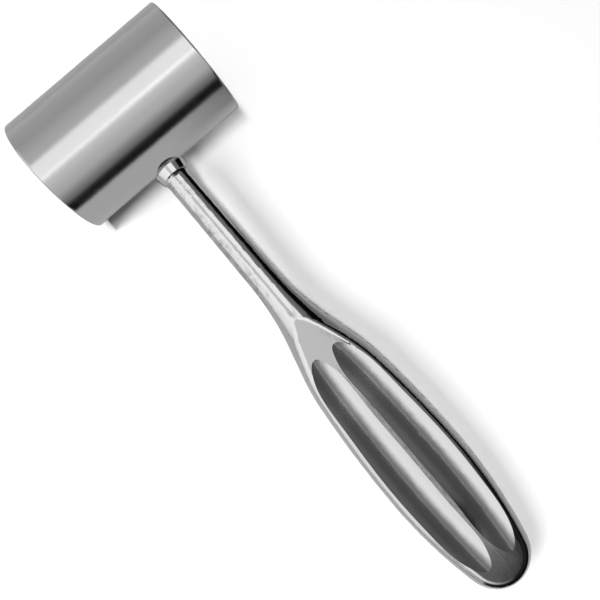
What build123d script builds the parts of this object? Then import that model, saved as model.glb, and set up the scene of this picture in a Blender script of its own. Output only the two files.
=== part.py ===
from build123d import *
import os
from math import asin, atan2, cos, degrees, hypot, radians, sin, sqrt, tan

# Surgical bone mallet: a solid steel head screwed onto a turned, milled and fluted steel handle.
# It lies as it rests on a table: the round head on its side, the handle sloping down to its tip.
# Lengths are in millimetres. X runs from the head to the grip, Y along the head, Z up.

# Overall sizes
overall_length = 240.0  # along the handle, from the far side of the head to the tip
head_diameter = 49.0
head_length = 70.0  # between the two striking faces
head_edge_radius = 0.8

# Screwed joint in the head
thread_diameter = 6.0  # nominal, the thread itself is left plain
thread_clearance = 0.1  # on the diameter, in the head and in the collar
thread_length = 19.0  # below the seat
bore_end_gap = 1.5
seat_depth = 0.3  # flat that the collar bears on, sunk into the round of the head
seat_margin = 0.6  # radius of the seat beyond the collar's foot

# Collar between head and handle: it widens from a narrow foot, then tapers towards the neck
collar_foot_width = 0.55  # of the ring that bears on the seat
collar_widest_diameter = 13.4
collar_end_diameter = 11.9  # against the handle's shoulder
collar_length = 6.6
collar_lead = 2.9  # from the seat to the widest place
collar_edge_break = 0.2

# Round neck of the handle, with a small flare against the collar
flare_diameter = 11.5
flare_length = 3.4
neck_end_diameter = 11.1  # where the throat begins
neck_slope = 0.6  # degrees, the taper of the neck on each side

# Grip: a turned bulb, milled flat on two sides
grip_width = 32.8
grip_thickness = 15.5
grip_tail = 46.5  # from the widest place to the tip
tip_radius = 12.5
throat_radius = 100.0
throat_angle = 15.0  # steepest slope of the outline, from the handle's axis
shoulder_radius = 70.0
belly_radius = 374.0
belly_angle = 6.3  # slope of the outline where the shoulder runs into the belly
rim_round = 2.8  # rounding along the edge of each flat

# Flutes: two scooped channels on each flat, with a ridge between them
ridge_width = 1.5
rim_width = 3.1  # from a flute's outer edge to the outline
flute_radius = 12.3  # of the scoop, across the flute
flute_start = 100.5  # from the tip, at the throat end
flute_stop = 10.7  # from the tip, at the tip end
flute_runout = 8.0  # length over which a flute comes up to the flat
runout_share = 0.78  # share of its full width that a flute has halfway along the runout
cutter_lead = 1.5  # how far the scoop goes on past the flute's end
cutter_lift = 0.25  # its height above the flat there

head_radius = head_diameter / 2
thread_radius = thread_diameter / 2
bore_radius = thread_radius + thread_clearance / 2
foot_radius = bore_radius + collar_foot_width
neck_end_radius = neck_end_diameter / 2
widest_radius = grip_width / 2
half_thickness = grip_thickness / 2

# Places along the handle's axis, measured from the head's axis
tip = overall_length - head_radius
widest = tip - grip_tail
seat = head_radius - seat_depth
shoulder = seat + collar_length
neck_start = shoulder + flare_length

# The outline of the bulb is a chain of tangent arcs and one straight stretch.
# The straight stretch takes up whatever width the arcs leave.
throat_rise = throat_radius * (cos(radians(neck_slope)) - cos(radians(throat_angle)))
throat_run = throat_radius * (sin(radians(throat_angle)) - sin(radians(neck_slope)))
bend_rise = shoulder_radius * (cos(radians(belly_angle)) - cos(radians(throat_angle)))
bend_run = shoulder_radius * (sin(radians(throat_angle)) - sin(radians(belly_angle)))
belly_rise = belly_radius * (1 - cos(radians(belly_angle)))
belly_run = belly_radius * sin(radians(belly_angle))
straight_rise = widest_radius - neck_end_radius - throat_rise - bend_rise - belly_rise
straight_run = straight_rise / tan(radians(throat_angle))
belly_start = widest - belly_run
bend_start = belly_start - bend_run
neck_end = bend_start - straight_run - throat_run
neck_radius = neck_end_radius - (neck_end - neck_start) * tan(radians(neck_slope))

# The tail arc leaves the widest place level and meets the tip arc tangentially
tip_centre = tip - tip_radius
tail_radius = ((tip_centre - widest) ** 2 / (widest_radius - tip_radius) + tip_radius + widest_radius) / 2
tail_angle = degrees(asin((tip_centre - widest) / (tail_radius - tip_radius)))

# The slope at which the head and the rounded tip both touch the table
flat_end = tip_centre + sqrt(tip_radius**2 - half_thickness**2)
edge_turn = atan2(sqrt(tip_radius**2 - half_thickness**2), half_thickness)
round_centre = flat_end - rim_round * tan(edge_turn / 2)
round_depth = half_thickness - rim_round
slope = asin((head_radius - rim_round) / hypot(round_centre, round_depth)) - atan2(round_depth, round_centre)

# Frame: the middle of the box on the floor is the origin
reach = tip_centre * cos(slope) + tip_radius
head_centre = Vector((head_radius - reach) / 2, 0, head_radius)
handle_axis = Vector(cos(slope), 0, -sin(slope))
handle_up = Vector(sin(slope), 0, cos(slope))
handle_frame = Plane(origin=head_centre, x_dir=handle_axis, z_dir=handle_up)
seat_plane = Plane(origin=head_centre + handle_axis * seat, x_dir=(0, 1, 0), z_dir=handle_axis)


def arc_drop(radius, offset):
    """How far an arc lies below its highest point at an offset from that point."""
    return radius - sqrt(radius**2 - offset**2)


def outline_radius(along):
    """Radius of the turned bulb at a place along its straight, bend, belly or tail."""
    if along < bend_start:
        return widest_radius - belly_rise - bend_rise - (bend_start - along) * tan(radians(throat_angle))
    if along < belly_start:
        summit = widest_radius - belly_rise + shoulder_radius * (1 - cos(radians(belly_angle)))
        summit_place = belly_start + shoulder_radius * sin(radians(belly_angle))
        return summit - arc_drop(shoulder_radius, summit_place - along)
    return widest_radius - arc_drop(belly_radius if along < widest else tail_radius, along - widest)


def scoop_plane(along, share, side, face, lift):
    """Plane of one section of a flute's scoop, where the flute has a share of its full width.

    Side is 1 or -1 for the two sides of the ridge, face is 1 or -1 for the upper and lower flat.
    """
    outer = outline_radius(along) - rim_width
    half_width = share * (outer - ridge_width / 2) / 2
    across = (outer + ridge_width / 2) / 2
    height = half_thickness + sqrt(flute_radius**2 - half_width**2) + lift
    centre = handle_frame.from_local_coords(Vector(along, side * across, face * height))
    return Plane(origin=centre, x_dir=handle_up * face, z_dir=handle_axis)


# Each flute as places along the handle, with its share of full width and its lift there
flute_first = tip - flute_start
flute_last = tip - flute_stop
full_first = flute_first + flute_runout
full_last = flute_last - flute_runout
scoop_stations = [
    (flute_first - cutter_lead, 0.0, cutter_lift),
    (flute_first, 0.0, 0.0),
    (flute_first + flute_runout / 2, runout_share, 0.0),
    (full_first, 1.0, 0.0),
    ((2 * full_first + widest) / 3, 1.0, 0.0),
    ((full_first + 2 * widest) / 3, 1.0, 0.0),
    (widest, 1.0, 0.0),
    ((full_last + widest) / 2, 1.0, 0.0),
    (full_last, 1.0, 0.0),
    (flute_last - flute_runout / 2, runout_share, 0.0),
    (flute_last, 0.0, 0.0),
    (flute_last + cutter_lead, 0.0, cutter_lift),
]

# Head: turned from solid bar, with a seat and a blind bore for the handle's thread
with BuildPart() as head:
    with BuildSketch(Plane(origin=head_centre, x_dir=(1, 0, 0), z_dir=(0, -1, 0))):
        Circle(head_radius)
    extrude(amount=head_length / 2, both=True)
    fillet(head.edges().filter_by(GeomType.CIRCLE), radius=head_edge_radius)
    with BuildSketch(seat_plane):
        Circle(foot_radius + seat_margin)
    extrude(amount=head_radius, mode=Mode.SUBTRACT)
    with BuildSketch(seat_plane):
        Circle(bore_radius)
    extrude(amount=-(thread_length + bore_end_gap), mode=Mode.SUBTRACT)

# Collar: a loose ring clamped between the head's seat and the handle's shoulder
with BuildPart() as collar:
    with BuildSketch(handle_frame):
        Polygon(
            (seat, bore_radius),
            (seat, foot_radius),
            (seat + collar_lead, collar_widest_diameter / 2),
            (shoulder, collar_end_diameter / 2),
            (shoulder, bore_radius),
            align=None,
        )
    revolve(axis=Axis(head_centre, handle_axis))
    outer_edges = collar.edges().filter_by(GeomType.CIRCLE).sort_by(SortBy.RADIUS)[-2:]
    chamfer(outer_edges, length=collar_edge_break)

# Handle: spigot, neck and bulb turned in one, then milled flat and fluted
with BuildPart() as handle:
    with BuildSketch(handle_frame):
        with BuildLine():
            spigot = Polyline(
                (seat - thread_length, 0),
                (seat - thread_length, thread_radius),
                (shoulder, thread_radius),
                (shoulder, flare_diameter / 2),
            )
            flare = Spline(
                spigot @ 1,
                (neck_start, neck_radius),
                tangents=[(1, -1), (cos(radians(neck_slope)), sin(radians(neck_slope)))],
            )
            neck = Line(flare @ 1, (neck_end, neck_end_radius))
            throat = JernArc(neck @ 1, neck % 1, throat_radius, throat_angle - neck_slope)
            straight = Line(throat @ 1, (bend_start, outline_radius(bend_start)))
            bend = JernArc(straight @ 1, straight % 1, shoulder_radius, belly_angle - throat_angle)
            belly = JernArc(bend @ 1, bend % 1, belly_radius, -belly_angle)
            tail = JernArc(belly @ 1, belly % 1, tail_radius, -tail_angle)
            nose = JernArc(tail @ 1, tail % 1, tip_radius, tail_angle - 90)
            Line(nose @ 1, spigot @ 0)
        make_face()
    revolve(axis=Axis(head_centre, handle_axis))
    for face in (1, -1):
        with BuildSketch(handle_frame.offset(face * half_thickness)):
            Rectangle(4 * tip, 2 * grip_width)
        extrude(amount=face * grip_width, mode=Mode.SUBTRACT)
    flats = handle.faces().filter_by(Axis(head_centre, handle_up))
    fillet(flats.edges(), radius=rim_round)
    for side in (1, -1):
        for face in (1, -1):
            with BuildPart(mode=Mode.PRIVATE) as scoop:
                for along, share, lift in scoop_stations:
                    with BuildSketch(scoop_plane(along, share, side, face, lift)):
                        Circle(flute_radius)
                loft()
            add(scoop.part, mode=Mode.SUBTRACT)

os.makedirs("parts", exist_ok=True)
head.part.label = "head"
export_step(head.part, "parts/head.step")
collar.part.label = "collar"
export_step(collar.part, "parts/collar.step")
handle.part.label = "handle"
export_step(handle.part, "parts/handle.step")
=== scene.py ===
import math

import bpy
from mathutils import Matrix, Vector

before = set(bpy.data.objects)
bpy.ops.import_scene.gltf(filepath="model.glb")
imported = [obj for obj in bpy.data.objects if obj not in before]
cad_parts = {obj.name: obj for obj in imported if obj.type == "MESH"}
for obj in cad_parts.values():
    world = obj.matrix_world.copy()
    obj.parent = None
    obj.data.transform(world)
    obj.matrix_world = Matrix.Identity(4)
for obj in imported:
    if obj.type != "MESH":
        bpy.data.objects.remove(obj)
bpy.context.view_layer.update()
scene = bpy.context.scene
scene.view_settings.view_transform = "Standard"

# Camera: looks at the mallet as it lies on a table, from almost straight above.
# It is tipped a little towards the head and turned, so that the handle runs to the lower right.
camera_place = Vector((0.0405, 0.0173, 0.2687))
camera_roll = math.radians(0.91)
camera_tip = math.radians(11.39)
camera_yaw = math.radians(-0.31)
camera_turn = math.radians(49.5)
camera_lens = 42.45
camera_film_width = 36.0
camera_shift = (-0.0285, -0.0847)
camera_nearest = 0.01

camera_data = bpy.data.cameras.new("camera")
camera_data.lens = camera_lens
camera_data.sensor_width = camera_film_width
camera_data.shift_x, camera_data.shift_y = camera_shift
camera_data.clip_start = camera_nearest
camera = bpy.data.objects.new("camera", camera_data)
scene.collection.objects.link(camera)
aim = (
    Matrix.Rotation(camera_yaw, 4, "Z")
    @ Matrix.Rotation(camera_tip, 4, "Y")
    @ Matrix.Rotation(camera_roll, 4, "X")
    @ Matrix.Rotation(camera_turn, 4, "Z")
)
camera.matrix_world = Matrix.Translation(camera_place) @ aim
scene.camera = camera

# Table: a smooth white board, painted matt, wide enough to fill every view and evenly lit far out.
# The mallet lies loose on it, touching with the side of its head and with the end of its grip.
table_reach = 6.0
table_white = 0.93
far_light_range = (0.22, 0.95)
far_light_glow = 0.86
paint_roughness = 0.9
paint_mottle_size = 6.0
paint_mottle_share = 0.985


def add_mesh(name, corners, faces):
    """A mesh of flat faces, placed in the scene beside the mallet."""
    mesh = bpy.data.meshes.new(name)
    mesh.from_pydata(corners, [], faces)
    thing = bpy.data.objects.new(name, mesh)
    scene.collection.objects.link(thing)
    return thing


def flat_sheet(name, low, high, height):
    """A level rectangle from one corner to the other, at a height."""
    corners = [(low[0], low[1]), (high[0], low[1]), (high[0], high[1]), (low[0], high[1])]
    return add_mesh(name, [(x, y, height) for x, y in corners], [(0, 1, 2, 3)])


def place_on(tree):
    """Where on a piece its finish is laid."""
    return tree.nodes.new("ShaderNodeTexCoord").outputs["Object"]


def rise(tree, value, start, stop, low=0.0, high=1.0, ends="SMOOTHSTEP"):
    """Turns a value into a step between two ends, soft unless its ends are linear."""
    step = tree.nodes.new("ShaderNodeMapRange")
    step.interpolation_type = ends
    step.inputs["From Min"].default_value = start
    step.inputs["From Max"].default_value = stop
    step.inputs["To Min"].default_value = low
    step.inputs["To Max"].default_value = high
    tree.links.new(value, step.inputs["Value"])
    return step.outputs["Result"]


def shift(tree, kind, place, *values):
    """Moves or measures a place, and gives the step's results."""
    step = tree.nodes.new("ShaderNodeVectorMath")
    step.operation = kind
    tree.links.new(place, step.inputs[0])
    for socket, value in zip(step.inputs[1:], values):
        socket.default_value = value
    return step.outputs


def speckle(tree, size, detail=2.0, place=None):
    """A soft random pattern, finer as its size number grows."""
    pattern = tree.nodes.new("ShaderNodeTexNoise")
    pattern.inputs["Scale"].default_value = size
    pattern.inputs["Detail"].default_value = detail
    if place is not None:
        tree.links.new(place, pattern.inputs["Vector"])
    return pattern


def matt_paint(name, white):
    """Matt paint with a very faint mottle."""
    paint = bpy.data.materials.new(name)
    paint.use_nodes = True
    tree = paint.node_tree
    shader = tree.nodes["Principled BSDF"]
    shader.inputs["Roughness"].default_value = paint_roughness
    shader.inputs["Specular IOR Level"].default_value = 0.0
    mottle = speckle(tree, paint_mottle_size).outputs["Fac"]
    tint = rise(tree, mottle, 0.0, 1.0, white * paint_mottle_share, white, "LINEAR")
    tree.links.new(tint, shader.inputs["Base Color"])
    return paint, tree, shader, tint


table = flat_sheet("table", (-table_reach, -table_reach), (table_reach, table_reach), 0.0)
table_paint, tree, shader, _ = matt_paint("table_paint", table_white)
from_middle = shift(tree, "LENGTH", place_on(tree))["Value"]
far_light = rise(tree, from_middle, *far_light_range, 0.0, far_light_glow)
tree.links.new(far_light, shader.inputs["Emission Strength"])
shader.inputs["Emission Color"].default_value = (1.0, 1.0, 1.0, 1.0)
table.data.materials.append(table_paint)
table.visible_glossy = False
table.visible_shadow = False

# Mirrored table: a grey sheet just under the table's top, which only the steel mirrors.
# It is darker on the north side of the neck and the grip, where their shade falls on the table,
# and it fades out past the end of the grip.
mirrored_low = (-1.5, -1.5)
mirrored_high = (0.18, 0.16)
mirrored_height = -0.0004
mirrored_grey = 0.52
mirrored_fade = (0.142, 0.178)
neck_shade = 0.65
neck_shade_x = (-0.064, -0.044)
neck_shade_y = (0.004, 0.050)


def axes_of(tree, place):
    """The three coordinates of a place."""
    axes = tree.nodes.new("ShaderNodeSeparateXYZ")
    tree.links.new(place, axes.inputs["Vector"])
    return axes.outputs


def combine(tree, kind, *values):
    """One step of arithmetic on values that vary, or on a plain number and one of them."""
    step = tree.nodes.new("ShaderNodeMath")
    step.operation = kind
    for socket, value in zip(step.inputs, values):
        if isinstance(value, float):
            socket.default_value = value
        else:
            tree.links.new(value, socket)
    return step.outputs["Value"]


mirrored = flat_sheet("mirrored_table", mirrored_low, mirrored_high, mirrored_height)
mirrored_paint, tree, shader, tint = matt_paint("mirrored_paint", mirrored_grey)
axes = axes_of(tree, place_on(tree))
past_head = rise(tree, axes["X"], *neck_shade_x, 0.0, neck_shade, "LINEAR")
north_of_neck = rise(tree, axes["Y"], *neck_shade_y, ends="LINEAR")
in_light = combine(tree, "SUBTRACT", 1.0, combine(tree, "MULTIPLY", past_head, north_of_neck))
before_grip_end = rise(tree, axes["X"], *mirrored_fade, 1.0, 0.0)
grey = combine(tree, "MULTIPLY", combine(tree, "MULTIPLY", tint, in_light), before_grip_end)
tree.links.new(grey, shader.inputs["Base Color"])
mirrored.data.materials.append(mirrored_paint)
mirrored.visible_camera = False
mirrored.visible_diffuse = False
mirrored.visible_shadow = False

# Backdrop: a pale cloth hung in a ring far round the table, so that every view ends in the same soft white.
# Its hem hangs below the table's top, and it reaches well above it.
cloth_sides = 64
cloth_distance = 5.9
cloth_hem = -0.5
cloth_top = 5.0
cloth_white = 0.80
cloth_glow = 0.78

turns = [2 * math.pi * side / cloth_sides for side in range(cloth_sides)]
hem = [(cloth_distance * math.cos(turn), cloth_distance * math.sin(turn), cloth_hem) for turn in turns]
top = [(x, y, cloth_top) for x, y, _ in hem]
widths = [(side, (side + 1) % cloth_sides) for side in range(cloth_sides)]
drops = [(left, right, right + cloth_sides, left + cloth_sides) for left, right in widths]
backdrop = add_mesh("backdrop", hem + top, drops)
backdrop_cloth, tree, shader, _ = matt_paint("backdrop_cloth", cloth_white)
shader.inputs["Emission Color"].default_value = (1.0, 1.0, 1.0, 1.0)
shader.inputs["Emission Strength"].default_value = cloth_glow
backdrop.data.materials.append(backdrop_cloth)
backdrop.visible_glossy = False
backdrop.visible_diffuse = False
backdrop.visible_shadow = False

# Head: a solid cylinder turned from stainless steel bar and polished to a soft satin.
# Its two striking faces are ground flat. The turning leaves hair-fine rings round its axis,
# and the faces carry fine rings about their middle.
head_middle = (-0.09518, 0.0, 0.0245)
head_tone = (0.60, 0.60, 0.605)
head_haze = (0.145, 0.175)
head_haze_patches = (0.3, 0.7)
head_haze_size = 38.0
head_ring_fineness = (6000.0, 8000.0, 45.0)  # outwards from the axis, along it, and with the height
head_ring_strength = 0.06
head_ring_depth = 0.0002


def steel(name, tone, roughness):
    """Bare stainless steel, before any finish is worked into it."""
    metal = bpy.data.materials.new(name)
    metal.use_nodes = True
    shader = metal.node_tree.nodes["Principled BSDF"]
    shader.inputs["Metallic"].default_value = 1.0
    shader.inputs["Base Color"].default_value = (*tone, 1.0)
    shader.inputs["Roughness"].default_value = roughness
    return metal, metal.node_tree, shader


def relief(tree, shader, height, strength, depth):
    """Works a fine relief into a finish."""
    bump = tree.nodes.new("ShaderNodeBump")
    bump.inputs["Strength"].default_value = strength
    bump.inputs["Distance"].default_value = depth
    tree.links.new(height, bump.inputs["Height"])
    tree.links.new(bump.outputs["Normal"], shader.inputs["Normal"])


def give_finish(piece, metal):
    """Gives a piece of the mallet its finish all over."""
    for slot in piece.material_slots:
        slot.material = metal


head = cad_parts["head"]
head_steel, tree, shader = steel("turned_head_steel", head_tone, head_haze[0])
place = place_on(tree)
axes = axes_of(tree, place)
to_origin = tuple(-distance for distance in head_middle)
off_axis = shift(tree, "MULTIPLY_ADD", place, (1.0, 0.0, 1.0), to_origin)["Vector"]
cut = tree.nodes.new("ShaderNodeCombineXYZ")
tree.links.new(shift(tree, "LENGTH", off_axis)["Value"], cut.inputs["X"])
tree.links.new(axes["Y"], cut.inputs["Y"])
tree.links.new(axes["Z"], cut.inputs["Z"])
tool_feed = shift(tree, "MULTIPLY", cut.outputs["Vector"], head_ring_fineness)["Vector"]
rings = speckle(tree, size=1.0, detail=3.0, place=tool_feed)
relief(tree, shader, rings.outputs["Fac"], head_ring_strength, head_ring_depth)
wiped = speckle(tree, head_haze_size, detail=3.0, place=place)
haze = rise(tree, wiped.outputs["Fac"], *head_haze_patches, *head_haze, "LINEAR")
tree.links.new(haze, shader.inputs["Roughness"])
give_finish(head, head_steel)

# Collar: a small ring turned from steel bar and polished, clamped between the head and the handle's shoulder.
# It is undercut towards the head, where the polish stops, and there its colour is a near-black painted shade
# that stands for the dark gap against the head.
handle_slope = math.radians(4.548)
handle_along = (math.cos(handle_slope), 0.0, -math.sin(handle_slope))
collar_tone = (0.64, 0.64, 0.645)
collar_polish = 0.06
# Painted shade: the colour of the undercut, near-black for the dark gap against the head.
undercut_painted_shade = (0.035, 0.035, 0.036)
undercut_roughness = 0.35
undercut_to = 0.0257
undercut_blend = 0.0002


def measure(tree, place, direction, origin=(0.0, 0.0, 0.0)):
    """How far a place lies along a direction, from an origin."""
    from_origin = shift(tree, "SUBTRACT", place, origin)["Vector"]
    return shift(tree, "DOT_PRODUCT", from_origin, direction)["Value"]


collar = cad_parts["collar"]
collar_steel, tree, shader = steel("polished_collar_steel", collar_tone, collar_polish)
from_head = measure(tree, place_on(tree), handle_along, head_middle)
# Inside the undercut the colour is the near-black painted shade of the gap against the head; outside it the
# steel keeps its own tone and polish.
polished = rise(tree, from_head, undercut_to - undercut_blend, undercut_to)
tones = tree.nodes.new("ShaderNodeMix")
tones.data_type = "RGBA"
tones.inputs["A"].default_value = (*undercut_painted_shade, 1.0)
tones.inputs["B"].default_value = (*collar_tone, 1.0)
tree.links.new(polished, tones.inputs["Factor"])
tree.links.new(tones.outputs["Result"], shader.inputs["Base Color"])
smoothness = rise(tree, polished, 0.0, 1.0, undercut_roughness, collar_polish, "LINEAR")
tree.links.new(smoothness, shader.inputs["Roughness"])
give_finish(collar, collar_steel)
collar.visible_glossy = False

# Handle: one bar of stainless steel, turned with a round neck and milled flat at the grip.
# Two long flutes are scooped into each flat and left satin, while the rest is polished along its length.
# The neck is polished by hand, which leaves it a little wavy and faintly clouded on its south side.
handle_up = (math.sin(handle_slope), 0.0, math.cos(handle_slope))
handle_tone = (0.62, 0.62, 0.625)
handle_polish = 0.06
flute_satin = 0.17
flute_start = (0.1145, 0.1155)
flute_top = (0.00763, 0.00773)  # just below the flats, measured from the handle's middle
flute_facing = (0.80, 0.88)
neck_end = (0.100, 0.085)
neck_wave_size = 330.0
neck_clouds = (0.72, 1.04)
neck_cloud_edges = (0.36, 0.60)
neck_cloud_size = 260.0
neck_cloud_raggedness = 0.62
neck_cloud_swirl = 0.6
south_facing = (0.15, 0.45)
scratch_fineness = (70.0, 2600.0, 2600.0)
scratch_depth = 0.10
handle_relief_strength = 0.35
handle_relief_depth = 0.0003

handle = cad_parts["handle"]
handle_steel, tree, shader = steel("polished_handle_steel", handle_tone, handle_polish)
place = place_on(tree)
surface = tree.nodes.new("ShaderNodeNewGeometry").outputs["Normal"]
along_handle = measure(tree, place, handle_along, head_middle)
above_axis = combine(tree, "ABSOLUTE", measure(tree, place, handle_up, head_middle))
facing_up = combine(tree, "ABSOLUTE", measure(tree, surface, handle_up))
in_length = rise(tree, along_handle, *flute_start)
below_flat = rise(tree, above_axis, *flute_top, 1.0, 0.0)
in_scoop = rise(tree, facing_up, *flute_facing)
in_flute = combine(tree, "MULTIPLY", combine(tree, "MULTIPLY", in_length, below_flat), in_scoop)
satin = rise(tree, in_flute, 0.0, 1.0, handle_polish, flute_satin, "LINEAR")
tree.links.new(satin, shader.inputs["Roughness"])

on_neck = rise(tree, along_handle, *neck_end)
hand_polish = speckle(tree, neck_wave_size, place=place)
waves = combine(tree, "MULTIPLY", hand_polish.outputs["Fac"], on_neck)
drawn_out = tree.nodes.new("ShaderNodeMapping")
drawn_out.inputs["Rotation"].default_value = (0.0, handle_slope, 0.0)
drawn_out.inputs["Scale"].default_value = scratch_fineness
tree.links.new(place, drawn_out.inputs["Vector"])
scratches = speckle(tree, size=1.0, detail=3.0, place=drawn_out.outputs["Vector"])
grain = rise(tree, scratches.outputs["Fac"], 0.0, 1.0, 0.0, scratch_depth, "LINEAR")
polish_marks = combine(tree, "ADD", waves, grain)
relief(tree, shader, polish_marks, handle_relief_strength, handle_relief_depth)

facing_south = rise(tree, measure(tree, surface, (0.0, -1.0, 0.0)), *south_facing)
clouds = speckle(tree, neck_cloud_size, detail=4.0, place=place)
clouds.inputs["Roughness"].default_value = neck_cloud_raggedness
clouds.inputs["Distortion"].default_value = neck_cloud_swirl
cloud_tone = tree.nodes.new("ShaderNodeMix")
cloud_tone.inputs["A"].default_value = 1.0
tree.links.new(combine(tree, "MULTIPLY", facing_south, on_neck), cloud_tone.inputs["Factor"])
clouded = rise(tree, clouds.outputs["Fac"], *neck_cloud_edges, *neck_clouds)
tree.links.new(clouded, cloud_tone.inputs["B"])
bare = tree.nodes.new("ShaderNodeVectorMath")
bare.operation = "SCALE"
bare.inputs[0].default_value = handle_tone
tree.links.new(cloud_tone.outputs["Result"], bare.inputs["Scale"])
tree.links.new(bare.outputs["Vector"], shader.inputs["Base Color"])
give_finish(handle, handle_steel)
handle.visible_glossy = False

# Boards: white and dark cloth boards hung round the table, which only the steel mirrors.
# Each glows more or less from one edge to the other, so that the bands on the steel fade as they should.
# Two of them hang over the grip and are seen in the handle alone.
even_glow = ((0.0, 1.0), (1.0, 1.0))


def fade(tree, place, stops):
    """A grey ramp that follows one coordinate of a board, from stops of (place, share of the glow)."""
    ramp = tree.nodes.new("ShaderNodeValToRGB")
    ramp.color_ramp.interpolation = "EASE"
    for where, _ in stops[1:-1]:
        ramp.color_ramp.elements.new(where)
    for stop, (where, share) in zip(ramp.color_ramp.elements, stops):
        stop.position = where
        stop.color = (share, share, share, 1.0)
    tree.links.new(place, ramp.inputs["Fac"])
    return ramp.outputs["Color"]


def glowing_cloth(name, glow, across, along):
    """Cloth that gives off light, more or less across and along its board."""
    cloth = bpy.data.materials.new(name)
    cloth.use_nodes = True
    tree = cloth.node_tree
    tree.nodes.remove(tree.nodes["Principled BSDF"])
    place = tree.nodes.new("ShaderNodeTexCoord").outputs["Generated"]
    axes = axes_of(tree, place)
    both = tree.nodes.new("ShaderNodeMix")
    both.data_type = "RGBA"
    both.blend_type = "MULTIPLY"
    both.inputs["Factor"].default_value = 1.0
    tree.links.new(fade(tree, axes["X"], across), both.inputs["A"])
    tree.links.new(fade(tree, axes["Y"], along), both.inputs["B"])
    light = tree.nodes.new("ShaderNodeEmission")
    light.inputs["Strength"].default_value = glow
    tree.links.new(both.outputs["Result"], light.inputs["Color"])
    tree.links.new(light.outputs["Emission"], tree.nodes["Material Output"].inputs["Surface"])
    return cloth


def board(name, low, high, height, glow, across=even_glow, along=even_glow, hinge=(0, 0, 0)):
    """A board from one corner to the other, level, or tipped up about its middle by a hinge turn."""
    half_width = (high[0] - low[0]) / 2
    half_depth = (high[1] - low[1]) / 2
    hung = flat_sheet(name, (-half_width, -half_depth), (half_width, half_depth), 0.0)
    hung.data.materials.append(glowing_cloth(name + "_cloth", glow, across, along))
    hung.location = ((low[0] + high[0]) / 2, (low[1] + high[1]) / 2, height)
    hung.rotation_euler = [math.radians(angle) for angle in hinge]
    hung.visible_camera = False
    hung.visible_diffuse = False
    hung.visible_shadow = False
    return hung


def only_for(light, *pieces):
    """Lets a lamp or a board shine on some pieces and nothing else."""
    alone = bpy.data.collections.new("lit_by_" + light.name)
    for piece in pieces:
        alone.objects.link(piece)
    light.light_linking.receiver_collection = alone


board(
    "overhead_box", (-0.18, -0.22), (0.012, 0.32), height=0.50, glow=1.30,
    across=((0.0, 0.50), (0.09, 1.0), (1.0, 1.0)),
    along=((0.0, 1.0), (0.09, 1.0), (0.13, 0.60), (0.40, 0.62), (0.44, 1.0), (0.87, 1.0), (1.0, 0.25)),
)
board(
    "throat_box", (0.012, -0.22), (0.08, -0.005), height=0.50, glow=1.30,
    along=((0.0, 1.0), (0.23, 1.0), (0.33, 0.60), (1.0, 0.62)),
)
board(
    "south_box", (-1.20, -1.30), (0.08, -0.22), height=0.50, glow=1.25,
    along=((0.0, 0.88), (0.5, 0.95), (1.0, 1.04)),
)
board(
    "south_wall", (-1.5, -1.56), (1.5, -1.04), height=0.25, glow=1.15,
    along=((0.0, 0.42), (0.3, 0.58), (0.6, 0.86), (1.0, 1.0)), hinge=(90, 0, 0),
)
board(
    "west_board", (-1.20, -0.22), (-0.18, 0.32), height=0.505, glow=0.62,
    across=((0.0, 0.8), (0.5, 0.70), (1.0, 1.0)),
)
board(
    "west_wall", (-0.90, -1.30), (-0.38, 0.32), height=0.25, glow=0.60,
    across=((0.0, 0.76), (0.5, 0.82), (1.0, 1.0)), hinge=(0, 90, 0),
)
board(
    "north_board", (-1.20, 0.30), (0.08, 0.95), height=0.508, glow=0.24,
    along=((0.0, 1.0), (0.8, 0.7), (1.0, 0.2)),
)
board("north_wall", (-1.6, 0.60), (1.6, 1.30), height=0.20, glow=0.004, hinge=(90, 0, 0))
board("east_board", (0.36, -1.30), (1.50, 0.95), height=0.52, glow=0.02)
board("east_wall", (0.8, -1.5), (1.6, 1.2), height=0.15, glow=0.004, hinge=(0, 90, 0))
board("dark_ground", (-4.0, -4.0), (4.0, 4.0), height=-0.003, glow=0.004)
grip_south = board(
    "grip_south", (0.08, -1.30), (0.75, -0.05), height=0.51, glow=1.20,
    across=((0.0, 1.0), (0.55, 1.0), (1.0, 0.15)),
    along=(
        (0.0, 0.75), (0.5, 0.95), (0.78, 1.0), (0.84, 0.82),
        (0.888, 0.52), (0.936, 0.27), (0.984, 0.15), (1.0, 0.12),
    ),
)
only_for(grip_south, handle)
grip_north = board(
    "grip_north", (0.08, -0.05), (0.40, 0.80), height=0.51, glow=0.86,
    across=(
        (0.0, 1.0), (0.06, 1.0), (0.18, 0.66), (0.58, 0.66), (0.69, 0.66),
        (0.755, 0.30), (0.80, 0.24), (0.87, 0.06), (1.0, 0.04),
    ),
    along=(
        (0.0, 0.15), (0.009, 0.95), (0.028, 0.97), (0.037, 0.19),
        (0.08, 0.17), (0.28, 0.16), (0.59, 0.30), (1.0, 0.32),
    ),
)
only_for(grip_north, handle)

# Panels: soft light panels that each shine on one or two pieces of the mallet and hide nothing behind them.
# Four fill the gaps between the boards. The fifth, the head's own, hangs slanting over the grip,
# brightest at its upper edge, and makes the broad bright band along the head.
head_glow_size = (1.2, 0.44)
head_glow_place = (0.182, 0.0, 0.265)
head_glow_slant = 51
head_glow_strength = 1.3
head_glow_stops = ((0.0, 0.01), (0.18, 0.19), (0.5, 0.49), (0.8, 0.62), (0.87, 0.70), (0.94, 0.82))


def area_lamp(name, width, depth, power):
    """A flat soft lamp, facing down until it is turned."""
    data = bpy.data.lights.new(name, "AREA")
    data.shape = "RECTANGLE"
    data.size = width
    data.size_y = depth
    data.energy = power
    lamp = bpy.data.objects.new(name, data)
    scene.collection.objects.link(lamp)
    return lamp


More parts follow.
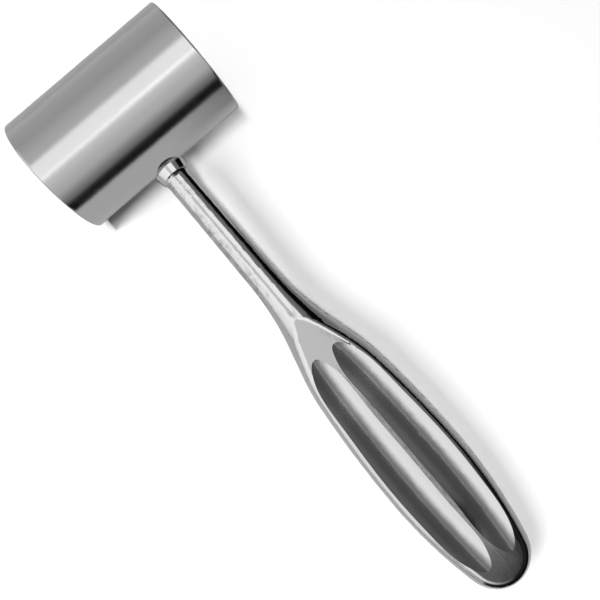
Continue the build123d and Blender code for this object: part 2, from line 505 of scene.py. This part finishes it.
def panel(name, width, depth, place, glow, turn=(0, 0, 0)):
    """A panel of one size with its middle at a place, as bright all over as its glow says."""
    lamp = area_lamp(name, width, depth, glow * math.pi * width * depth)
    lamp.location = place
    lamp.rotation_euler = [math.radians(angle) for angle in turn]
    return lamp


only_for(panel("corner_fill", 0.068, 0.325, (0.046, 0.1575, 0.49), glow=1.30), head, collar)
only_for(panel("north_fill", 1.30, 0.56, (-0.15, 0.90, 0.30), glow=0.26, turn=(-90, 0, 0)), head)
only_for(panel("head_fill", 0.25, 0.16, (-0.045, -0.08, 0.49), glow=0.48), head)
only_for(panel("neck_fill", 0.305, 0.49, (-0.3275, 0.025, 0.49), glow=0.65), collar, handle)

head_glow = panel(
    "head_glow", *head_glow_size, head_glow_place,
    glow=head_glow_strength, turn=(head_glow_slant, 0, 90),
)
head_glow.data.use_nodes = True
tree = head_glow.data.node_tree
across_panel = axes_of(tree, tree.nodes.new("ShaderNodeNewGeometry").outputs["Parametric"])["Y"]
tree.links.new(fade(tree, across_panel, head_glow_stops), tree.nodes["Emission"].inputs["Color"])
only_for(head_glow, head)

# Room: the faint even light that comes back from the walls of the studio.
# It only lifts the shadows a little.
room_white = (1.0, 1.0, 1.0, 1.0)
room_light = 0.07

world = bpy.data.worlds.new("studio")
world.use_nodes = True
world.node_tree.nodes["Background"].inputs["Color"].default_value = room_white
world.node_tree.nodes["Background"].inputs["Strength"].default_value = room_light
scene.world = world

# Flag: a card with slanting edges, stood upright along the head's axis to shade the side lamp.
# Only its shadow is seen, as the soft shade on the table beside the head.
flag_y = -0.0345
flag_foot = (-0.102, -0.0735, 0.0005)
flag_head = (-0.110, -0.062, 0.105)
flag_corners = [
    (flag_foot[0], flag_y, flag_foot[2]),
    (flag_foot[1], flag_y, flag_foot[2]),
    (flag_head[1], flag_y, flag_head[2]),
    (flag_head[0], flag_y, flag_head[2]),
]

head_flag = add_mesh("head_flag", flag_corners, [(0, 1, 2, 3)])
head_flag.visible_camera = False
head_flag.visible_glossy = False
head_flag.visible_diffuse = False

# Lamps: two soft boxes, one straight above the grip and one to the south, which light the table.
# Each stands twice, once for the table and once for the sheet that the steel mirrors, because the
# mirrored sheet takes no shadow from the handle.
top_lamp_place = (0.11, 0.0, 1.0)
top_lamp_target = (0.11, 0.0, 0.0)
top_lamp_size = (0.32, 0.08)
top_lamp_power = 6.5
side_lamp_place = (-0.02, -0.60, 1.0)
side_lamp_target = (0.0, 0.0, 0.0)
side_lamp_size = (0.50, 0.50)
side_lamp_power = 8.2


def soft_lamp(name, place, target, size, power, lit, shadow_makers):
    """A soft box aimed at a point, which lights one thing and in which only some things cast a shadow."""
    lamp = area_lamp(name, *size, power)
    lamp.location = place
    lamp.rotation_euler = (Vector(target) - Vector(place)).to_track_quat("-Z", "Y").to_euler()
    lamp.visible_glossy = False
    only_for(lamp, lit)
    shades = bpy.data.collections.new("shading_" + name)
    for shade in shadow_makers:
        shades.objects.link(shade)
    lamp.light_linking.blocker_collection = shades


for name, lit, under_top, under_side in (
    ("table", table, (head, collar, handle), (handle, head_flag)),
    ("mirrored", mirrored, (head,), (head_flag,)),
):
    soft_lamp(
        name + "_top_lamp", top_lamp_place, top_lamp_target, top_lamp_size, top_lamp_power,
        lit, under_top,
    )
    soft_lamp(
        name + "_side_lamp", side_lamp_place, side_lamp_target, side_lamp_size, side_lamp_power,
        lit, under_side,
    )
